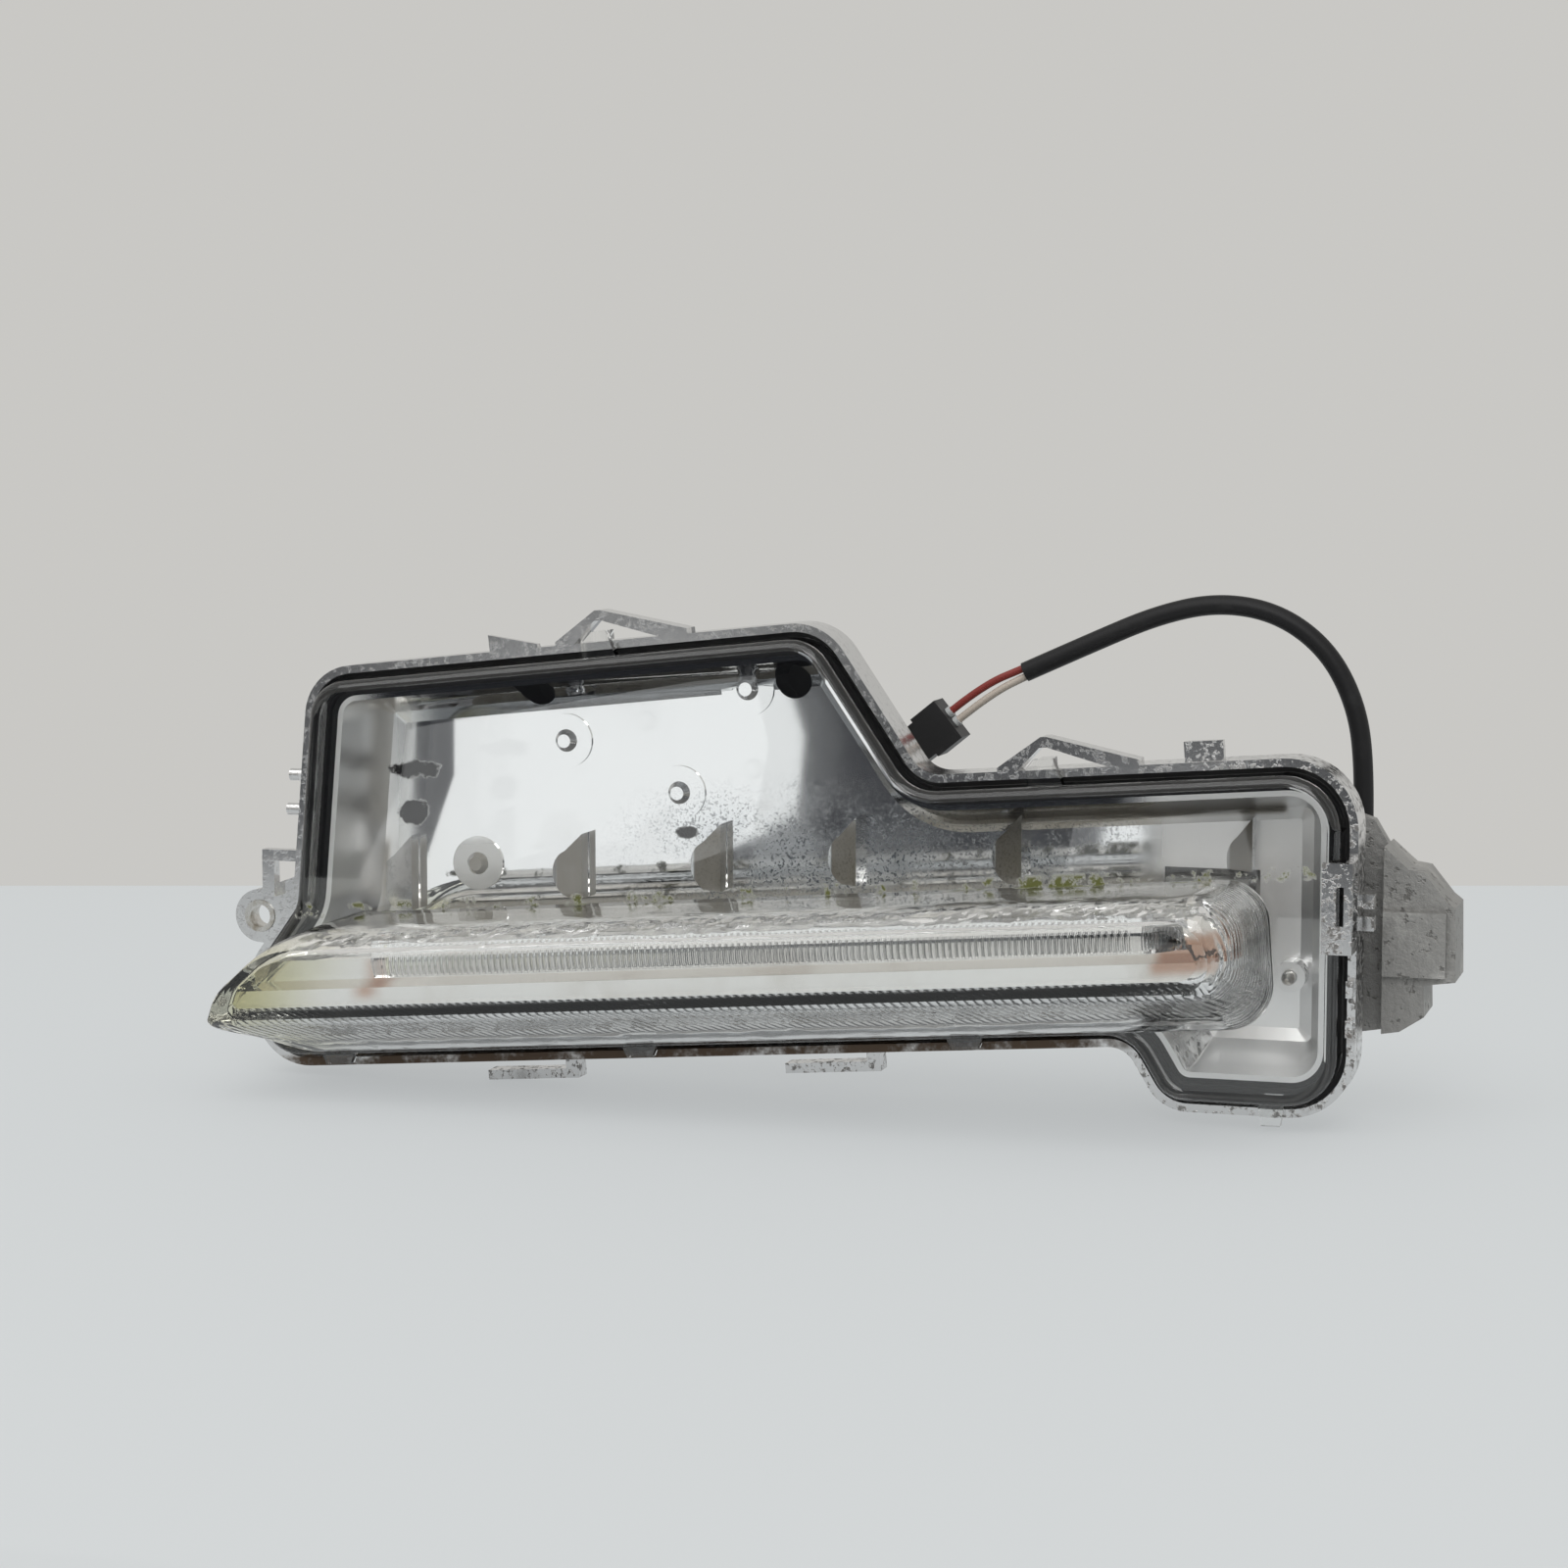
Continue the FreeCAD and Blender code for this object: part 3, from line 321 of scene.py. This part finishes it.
def clearLens():
    mat, tree, bsdf = newMaterial("clearLens")
    coords = objectCoords(tree)
    x, y, z = axes(tree, coords)
    up = noseUp(tree, coords)
    # the thick tip of the blade is yellowed
    bow = opposite(tree, stepUp(tree, x, 10 * mm, 36 * mm))
    front = opposite(tree, stepUp(tree, y, -16 * mm, -10 * mm))
    tip = times(tree, bow, front)
    # moss and grit caught where the nose meets the field
    root = band(tree, up, 15.2 * mm, 18.2 * mm, 0.7 * mm)
    root = times(tree, root, band(tree, y, -14.6 * mm, -11.6 * mm, 0.4 * mm))
    thick = times(tree, band(tree, x, 184 * mm, 204 * mm, 3 * mm), 0.12)
    clumps = stepUp(tree, plus(tree, noise(tree, coords, 160.0, 6.0, 0.75), thick), 0.53, 0.62)
    moss = times(tree, root, clumps)
    colour = mixColour(tree, tip, lensLook["clear"], lensLook["thickTint"])
    colour = mixColour(tree, moss, colour, lensLook["moss"])
    bsdf.inputs["IOR"].default_value = lensLook["ior"]
    clear = opposite(tree, moss)
    tree.links.new(clear, bsdf.inputs["Transmission Weight"])
    haze = stepUp(tree, noise(tree, coords, 35.0, 5.0, 0.6), 0.55, 0.8)
    rough = mixNumber(tree, moss, times(tree, haze, 0.05), 0.8)
    tree.links.new(rough, bsdf.inputs["Roughness"])
    # fine slanting flutes on the chin, upright flutes on the right end
    turned = addNode(tree, "ShaderNodeMapping")
    turned.inputs["Rotation"].default_value = (0.0, math.radians(lensLook["fluteTurn"]), 0.0)
    tree.links.new(coords, turned.inputs["Vector"])
    flutes = addNode(tree, "ShaderNodeTexWave", bands_direction="X")
    flutes.inputs["Scale"].default_value = lensLook["fluteScale"]
    tree.links.new(turned.outputs["Vector"], flutes.inputs["Vector"])
    chin = band(tree, up, -9.6 * mm, -4.2 * mm, 0.3 * mm)
    chin = times(tree, chin, stepUp(tree, y, -41 * mm, -38 * mm))
    chin = times(tree, chin, opposite(tree, stepUp(tree, y, -19 * mm, -16 * mm)))
    grooves = times(tree, flutes.outputs["Fac"], chin)
    endFlutes = addNode(tree, "ShaderNodeTexWave", bands_direction="Y")
    endFlutes.inputs["Scale"].default_value = lensLook["endFluteScale"]
    tree.links.new(coords, endFlutes.inputs["Vector"])
    endZone = stepUp(tree, x, 229 * mm, 231 * mm)
    endZone = times(tree, endZone, band(tree, y, -39 * mm, -14 * mm, 1 * mm))
    endGrooves = times(tree, endFlutes.outputs["Fac"], endZone)
    height = plus(tree, grooves, endGrooves)
    # the fluted bands are tinted grey
    fluteGrey = times(tree, most(tree, grooves, endGrooves), 0.75)
    tree.links.new(mixColour(tree, fluteGrey, colour, lensLook["groove"]), bsdf.inputs["Base Color"])
    addBump(tree, bsdf, height, lensLook["fluteDepth"], 0.8)
    letShadowsThrough(tree, bsdf, lensLook["shadow"])
    return mat


def clearGuide():
    mat, tree, bsdf = newMaterial("clearGuide")
    coords = objectCoords(tree)
    up = noseUp(tree, coords)
    bsdf.inputs["Base Color"].default_value = guideLook["clear"]
    bsdf.inputs["IOR"].default_value = guideLook["ior"]
    bsdf.inputs["Transmission Weight"].default_value = 1.0
    bsdf.inputs["Roughness"].default_value = guideLook["rough"]
    lines = addNode(tree, "ShaderNodeTexWave", bands_direction="X")
    lines.inputs["Scale"].default_value = guideLook["lineScale"]
    tree.links.new(coords, lines.inputs["Vector"])
    zone = band(tree, up, 5.0 * mm, 11.0 * mm, 0.2 * mm)
    addBump(tree, bsdf, times(tree, lines.outputs["Fac"], zone), guideLook["lineDepth"], 0.5)
    letShadowsThrough(tree, bsdf, guideLook["shadow"])
    return mat


def naturalPlastic():
    mat, tree, bsdf = newMaterial("naturalPlastic")
    coords = objectCoords(tree)
    stain = stepUp(tree, noise(tree, coords, 90.0, 5.0, 0.65), 0.42, 0.72)
    colour = mixColour(tree, stain, carrierLook["clean"], carrierLook["stained"])
    tree.links.new(colour, bsdf.inputs["Base Color"])
    bsdf.inputs["Transmission Weight"].default_value = carrierLook["clear"]
    bsdf.inputs["Roughness"].default_value = carrierLook["rough"]
    bsdf.inputs["IOR"].default_value = carrierLook["ior"]
    letShadowsThrough(tree, bsdf, carrierLook["shadow"])
    return mat


# Metals
trimLook = {"bright": (0.9, 0.885, 0.86, 1.0), "hazy": (0.74, 0.7, 0.65, 1.0),
            "tarnish": (0.5, 0.26, 0.15, 1.0)}
castLook = {"skin": (0.3, 0.297, 0.288, 1.0), "bare": (0.46, 0.455, 0.44, 1.0),
            "pit": (0.1, 0.095, 0.085, 1.0), "grainDepth": 0.5 * mm}
steelLook = {"clean": (0.66, 0.65, 0.62, 1.0), "tarnish": (0.36, 0.32, 0.26, 1.0)}
brassLook = {"clean": (0.8, 0.62, 0.34, 1.0), "tarnish": (0.5, 0.36, 0.18, 1.0), "rough": 0.32}


def brightTrim():
    mat, tree, bsdf = newMaterial("brightTrim")
    coords = objectCoords(tree)
    bsdf.inputs["Metallic"].default_value = 1.0
    x, y, z = axes(tree, coords)
    haze = stepUp(tree, noise(tree, coords, 40.0, 5.0, 0.6), 0.45, 0.8)
    colour = mixColour(tree, haze, trimLook["bright"], trimLook["hazy"])
    # warm tarnish at both ends of the guide
    rightEnd = band(tree, x, 217 * mm, 230 * mm, 1.5 * mm)
    leftEnd = band(tree, x, 41 * mm, 45 * mm, 3 * mm)
    up = noseUp(tree, coords)
    ends = times(tree, plus(tree, rightEnd, leftEnd), band(tree, up, 0 * mm, 8 * mm, 1.5 * mm))
    ends = times(tree, ends, opposite(tree, stepUp(tree, y, -24 * mm, -19 * mm)))
    colour = mixColour(tree, times(tree, ends, 0.8), colour, trimLook["tarnish"])
    tree.links.new(colour, bsdf.inputs["Base Color"])
    tree.links.new(mixNumber(tree, haze, 0.05, 0.16), bsdf.inputs["Roughness"])
    return mat


def castMetal():
    mat, tree, bsdf = newMaterial("castMetal")
    coords = objectCoords(tree)
    grain = noise(tree, coords, 700.0, 4.0, 0.7)
    stain = noise(tree, coords, 70.0, 6.0, 0.65)
    bare = stepUp(tree, stain, 0.5, 0.68)
    colour = mixColour(tree, bare, castLook["skin"], castLook["bare"])
    pits = stepUp(tree, noise(tree, coords, 330.0, 3.0, 0.7), 0.58, 0.68)
    colour = mixColour(tree, times(tree, pits, 0.45), colour, castLook["pit"])
    tree.links.new(colour, bsdf.inputs["Base Color"])
    tree.links.new(mixNumber(tree, bare, 0.35, 0.75), bsdf.inputs["Metallic"])
    tree.links.new(mixNumber(tree, pits, 0.5, 0.85), bsdf.inputs["Roughness"])
    height = mathNode(tree, "SUBTRACT", plus(tree, grain, stain), times(tree, pits, 0.6))
    addBump(tree, bsdf, height, castLook["grainDepth"], 0.7)
    return mat


# Plastics and rubbers: a plain colour under dust, with a fine grain
def mouldedPlastic(name, colour, rough, grainScale=900.0, grainDepth=0.05 * mm, shine=0.5):
    mat, tree, bsdf = newMaterial(name)
    coords = objectCoords(tree)
    dust = stepUp(tree, noise(tree, coords, 120.0, 5.0, 0.65), 0.5, 0.75)
    pale = tuple(min(1.0, c * 0.8 + 0.022) for c in colour[:3]) + (1.0,)
    dusty = mixColour(tree, times(tree, dust, 0.5), colour, pale)
    tree.links.new(dusty, bsdf.inputs["Base Color"])
    tree.links.new(mixNumber(tree, dust, rough, min(1.0, rough + 0.2)), bsdf.inputs["Roughness"])
    bsdf.inputs["Specular IOR Level"].default_value = shine
    addBump(tree, bsdf, noise(tree, coords, grainScale, 3.0), grainDepth, 0.5)
    return mat


def platedSteel():
    mat, tree, bsdf = newMaterial("platedSteel")
    coords = objectCoords(tree)
    bsdf.inputs["Metallic"].default_value = 1.0
    tarnish = stepUp(tree, noise(tree, coords, 300.0, 5.0, 0.65), 0.45, 0.7)
    colour = mixColour(tree, tarnish, steelLook["clean"], steelLook["tarnish"])
    tree.links.new(colour, bsdf.inputs["Base Color"])
    tree.links.new(mixNumber(tree, tarnish, 0.25, 0.55), bsdf.inputs["Roughness"])
    return mat


def platedBrass():
    mat, tree, bsdf = newMaterial("platedBrass")
    coords = objectCoords(tree)
    bsdf.inputs["Metallic"].default_value = 1.0
    tarnish = noise(tree, coords, 500.0, 4.0)
    colour = mixColour(tree, tarnish, brassLook["clean"], brassLook["tarnish"])
    tree.links.new(colour, bsdf.inputs["Base Color"])
    bsdf.inputs["Roughness"].default_value = brassLook["rough"]
    return mat


looks = {
    "metallised": metallisedPlastic(),
    "clear": clearLens(),
    "guide_clear": clearGuide(),
    "natural": naturalPlastic(),
    "bright_trim": brightTrim(),
    "cast": castMetal(),
    "steel": platedSteel(),
    "brass": platedBrass(),
    "black_sealant": mouldedPlastic("blackSealant", (0.008, 0.008, 0.009, 1.0), 0.5, 300.0, 0.2 * mm, 0.3),
    "black_rubber": mouldedPlastic("blackRubber", (0.02, 0.02, 0.021, 1.0), 0.6),
    "black_plastic": mouldedPlastic("blackPlastic", (0.016, 0.016, 0.017, 1.0), 0.45, shine=0.35),
    "sleeve": mouldedPlastic("sleeve", (0.011, 0.011, 0.012, 1.0), 0.45, 500.0, 0.08 * mm, 0.25),
    "red_wire": mouldedPlastic("redWire", (0.22, 0.022, 0.016, 1.0), 0.4),
    "white_wire": mouldedPlastic("whiteWire", (0.52, 0.46, 0.4, 1.0), 0.4),
    "board": mouldedPlastic("boardMask", (0.72, 0.73, 0.7, 1.0), 0.35),
    "emitter": mouldedPlastic("emitter", (0.85, 0.68, 0.2, 1.0), 0.3),
    "pad": mouldedPlastic("softPad", (0.5, 0.52, 0.52, 1.0), 0.7),
}
print("materials made:", len(looks))

slotOf = {entry["node"]: entry["material_slot"] for entry in frame["record"]["subparts"]}


def dress(obj, slot):
    obj.data.materials.clear()
    obj.data.materials.append(looks[slot])


for name, obj in nodes.items():
    dress(obj, slotOf[name])


# Smooth copies of the pieces with round faces, each with the angle up to which an edge is smooth
smoothPieces = {
    "lens": 32,
    "housing": 28,
    "bezel": 30,
    "light_guide": 25,
    "cable_grommet": 40,
    "vent_cap_left": 40,
    "vent_cap_right": 40,
    "sealant_bead": 28,
    "heatsink_screws": 35,
    "ear_bush": 40,
    "plug_seals": 40,
}
flats = {"leastArea": 400 * mm * mm, "depthStep": 0.05 * mm, "sameSpot": 0.002 * mm}


def selectFlatBorders(mesh):
    # borders of the large flat faces, which become sharp, so that these mirror and refract as flat ones
    planes = []
    areas = {}
    for face in mesh.polygons:
        offset = round(face.normal.dot(face.center) / flats["depthStep"])
        plane = (round(face.normal.x, 2), round(face.normal.y, 2), round(face.normal.z, 2), offset)
        planes.append(plane)
        areas[plane] = areas.get(plane, 0.0) + face.area
    beside = {}
    for face in mesh.polygons:
        for key in face.edge_keys:
            beside.setdefault(key, set()).add(planes[face.index])
    for edge in mesh.edges:
        around = beside.get(edge.key, set())
        largest = max((areas[plane] for plane in around), default=0.0)
        edge.select = len(around) > 1 and largest > flats["leastArea"]


def smoothCopy(name, angle):
    bpy.ops.object.select_all(action="DESELECT")
    source = nodes[name]
    source.select_set(True)
    bpy.context.view_layer.objects.active = source
    bpy.ops.object.duplicate()
    piece = bpy.context.active_object
    piece.parent = None
    for key in list(piece.keys()):
        del piece[key]
    piece.name = name + "_piece"
    bpy.ops.object.mode_set(mode="EDIT")
    bpy.ops.mesh.select_all(action="SELECT")
    bpy.ops.mesh.remove_doubles(threshold=flats["sameSpot"])
    bpy.ops.object.mode_set(mode="OBJECT")
    bpy.ops.mesh.customdata_custom_splitnormals_clear()
    bpy.ops.object.shade_smooth_by_angle(angle=math.radians(angle))
    bpy.ops.object.mode_set(mode="EDIT")
    bpy.ops.mesh.select_mode(type="EDGE")
    bpy.ops.mesh.select_all(action="DESELECT")
    bpy.ops.object.mode_set(mode="OBJECT")
    selectFlatBorders(piece.data)
    bpy.ops.object.mode_set(mode="EDIT")
    bpy.ops.mesh.mark_sharp()
    bpy.ops.mesh.select_all(action="DESELECT")
    bpy.ops.object.mode_set(mode="OBJECT")
    bpy.ops.object.modifier_add(type="WEIGHTED_NORMAL")
    weighted = piece.modifiers[-1]
    weighted.keep_sharp = True
    weighted.weight = 100
    bpy.ops.object.modifier_apply(modifier=weighted.name)
    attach(piece, "root")
    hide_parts(name)


for name, angle in smoothPieces.items():
    smoothCopy(name, angle)
print("smooth pieces:", len(smoothPieces))


# Cable: the sleeve's route, then the two wires from its mouth to the plug
sheath = {
    "radius": 2.2 * mm,
    "length": 111.6 * mm,
    "route": [(250.7, 30.5, 27.0), (250.7, 30.5, 40.0), (248.6, 30.4, 53.0), (242.3, 30.0, 64.8),
              (231.6, 29.4, 72.6), (218.6, 28.6, 74.8), (205.3, 27.8, 71.9), (190.2, 27.0, 65.3),
              (175.5, 26.4, 58.6)],
}
wires = {
    "radius": 0.85 * mm,
    "wire_red": {
        "length": 31.0 * mm,
        "route": [(185.87, 26.84, 64.27), (175.68, 26.42, 59.66),
                  (166.06, 26.4, 55.55), (158.76, 26.4, 49.64)],
    },
    "wire_white": {
        "length": 30.4 * mm,
        "route": [(186.59, 26.84, 62.71), (176.41, 26.42, 58.04),
                  (167.70, 26.4, 53.53), (160.40, 26.4, 47.62)],
    },
}


def layCord(node, route, radius):
    curve = bpy.data.curves.new(node + "_cord", "CURVE")
    curve.dimensions = "3D"
    spline = curve.splines.new("NURBS")
    spline.points.add(len(route) - 1)
    for point, place in zip(spline.points, route):
        point.co = (place[0] * mm, place[1] * mm, place[2] * mm, 1.0)
    spline.order_u = 3
    spline.use_endpoint_u = True
    spline.resolution_u = 12
    curve.bevel_depth = radius
    curve.bevel_resolution = 6
    curve.use_fill_caps = True
    cord = bpy.data.objects.new(node + "_cord", curve)
    bpy.context.scene.collection.objects.link(cord)
    curve.materials.append(looks[slotOf[node]])
    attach(cord, "root")
    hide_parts(node)
    return cord


sheathCord = layCord("cable_sheath", sheath["route"], sheath["radius"])
plugPieces = [nodes[name] for name in ("plug_body", "plug_lock", "plug_terminals")]
plugSeals = [bpy.data.objects["plug_seals_piece"]]
for name, onIt in (("wire_red", plugPieces), ("wire_white", plugSeals)):
    wire = layCord(name, wires[name]["route"], wires["radius"])
print("cords laid")


# Stage: a floor that ends behind the lamp, the pale world as the wall beyond it,
# and cards that only reflections and refractions see
stage = {"floor": -35.6 * mm, "endBehind": 367 * mm, "turn": 17.0, "size": 4.0,
         "paint": (0.655, 0.68, 0.69, 1.0), "ownShare": 0.65, "rough": 0.7}
cards = {
    "dark": (0.05, 0.052, 0.058, 1.0),
    "white": (0.95, 0.97, 0.98, 1.0),
    "darkStrength": 1.0,
    "whiteStrength": 0.95,
    "room": [(-1700, -330), (1500, -330), (1500, -3200), (-1700, -3200)],
    "bench": [(-308, -834), (-272, -1154), (-253, -1209), (-117, -798),
              (-17, -455), (-19, -330), (-78, -241), (-205, -583)],
    "lobe": [(81, -536), (130, -605), (180, -360), (114, -365)],
}
aim = Vector((131, -12, 36)) * mm
turn = math.radians(stage["turn"])
away = Vector((-math.sin(turn), math.cos(turn), 0.0))
across = Vector((math.cos(turn), math.sin(turn), 0.0))


def stagePlane(name, corners, mat):
    mesh = bpy.data.meshes.new(name)
    mesh.from_pydata([tuple(c) for c in corners], [], [tuple(range(len(corners)))])
    plane = bpy.data.objects.new(name, mesh)
    bpy.context.scene.collection.objects.link(plane)
    mesh.materials.append(mat)
    return plane


def paleSurface(name, colour, share):
    # a share of what the camera, metal and glass see of it is its own colour: the shadow stays light
    mat, tree, bsdf = newMaterial(name)
    coords = objectCoords(tree)
    cloud = noise(tree, coords, 1.3, 3.0)
    darker = tuple(c * 0.95 for c in colour[:3]) + (1.0,)
    tree.links.new(mixColour(tree, cloud, colour, darker), bsdf.inputs["Base Color"])
    bsdf.inputs["Roughness"].default_value = stage["rough"]
    path = addNode(tree, "ShaderNodeLightPath").outputs
    seen = most(tree, path["Is Camera Ray"], path["Is Glossy Ray"])
    seen = most(tree, seen, path["Is Transmission Ray"])
    plain = addNode(tree, "ShaderNodeEmission")
    plain.inputs["Color"].default_value = colour
    mixed = addNode(tree, "ShaderNodeMixShader")
    tree.links.new(times(tree, seen, share), mixed.inputs["Fac"])
    tree.links.new(bsdf.outputs["BSDF"], mixed.inputs[1])
    tree.links.new(plain.outputs["Emission"], mixed.inputs[2])
    tree.links.new(mixed.outputs["Shader"], tree.nodes["Material Output"].inputs["Surface"])
    return mat


def cardLight(name, colour, strength):
    mat = bpy.data.materials.new(name)
    mat.use_nodes = True
    tree = mat.node_tree
    tree.nodes.remove(tree.nodes["Principled BSDF"])
    glow = addNode(tree, "ShaderNodeEmission")
    glow.inputs["Color"].default_value = colour
    glow.inputs["Strength"].default_value = strength
    tree.links.new(glow.outputs["Emission"], tree.nodes["Material Output"].inputs["Surface"])
    return mat


size = stage["size"]
foot = aim + away * stage["endBehind"]
foot.z = stage["floor"]
floorCorners = [foot - across * size, foot + across * size,
                foot + across * size - away * size, foot - across * size - away * size]
stagePlane("floor", floorCorners, paleSurface("floorPaint", stage["paint"], stage["ownShare"]))


def reflectionCard(name, places, height, mat):
    corners = [Vector((px * mm, py * mm, stage["floor"] + height)) for px, py in places]
    card = stagePlane(name, corners, mat)
    card.visible_camera = False
    card.visible_diffuse = False
    card.visible_shadow = False


dark = cardLight("darkCard", cards["dark"], cards["darkStrength"])
white = cardLight("whiteCard", cards["white"], cards["whiteStrength"])
reflectionCard("roomCard", cards["room"], 1 * mm, dark)
reflectionCard("benchCard", cards["bench"], 2 * mm, white)
reflectionCard("lobeCard", cards["lobe"], 2 * mm, white)

softBoxes = {
    "topBox": {"place": (0.05, -0.75, 1.3), "width": 1.8, "height": 1.3, "power": 10.0},
    "frontBox": {"place": (0.5, -1.5, 0.9), "width": 0.7, "height": 0.7, "power": 5.0},
}


def softBox(name, place, width, height, power):
    light = bpy.data.lights.new(name, "AREA")
    light.shape = "RECTANGLE"
    light.size = width
    light.size_y = height
    light.energy = power
    box = bpy.data.objects.new(name, light)
    bpy.context.scene.collection.objects.link(box)
    box.location = place
    box.rotation_mode = "QUATERNION"
    box.rotation_quaternion = (aim - Vector(place)).to_track_quat("-Z", "Y")


for name, values in softBoxes.items():
    softBox(name, **values)

wall = {"colour": (1.0, 0.988, 0.952, 1.0), "strength": 0.585}
world = bpy.data.worlds.new("studio")
bpy.context.scene.world = world
world.use_nodes = True
background = world.node_tree.nodes["Background"]
background.inputs["Color"].default_value = wall["colour"]
background.inputs["Strength"].default_value = wall["strength"]

# Camera at the photograph's viewing angle
view = {"azimuth": 17.0, "elevation": 6.0, "distance": 766 * mm, "lens": 81.0, "sensor": 36.0,
        "clipStart": 0.01}
azimuth = math.radians(view["azimuth"])
elevation = math.radians(view["elevation"])
level = math.cos(elevation)
back = Vector((math.sin(azimuth) * level, -math.cos(azimuth) * level, math.sin(elevation)))
cameraData = bpy.data.cameras.new("camera")
cameraData.lens = view["lens"]
cameraData.sensor_width = view["sensor"]
cameraData.clip_start = view["clipStart"]
camera = bpy.data.objects.new("camera", cameraData)
bpy.context.scene.collection.objects.link(camera)
camera.location = aim + back * view["distance"]
camera.rotation_mode = "QUATERNION"
camera.rotation_quaternion = (-back).to_track_quat("-Z", "Y")
bpy.context.scene.camera = camera

# Plain colours, and enough bounces for the clear pieces in front of the mirror
scene = bpy.context.scene
scene.view_settings.view_transform = "Standard"
scene.cycles.caustics_reflective = False
scene.cycles.caustics_refractive = False
scene.cycles.max_bounces = 12
scene.cycles.transmission_bounces = 11
scene.cycles.transparent_max_bounces = 16
scene.cycles.glossy_bounces = 5
print("stage, light and camera set")
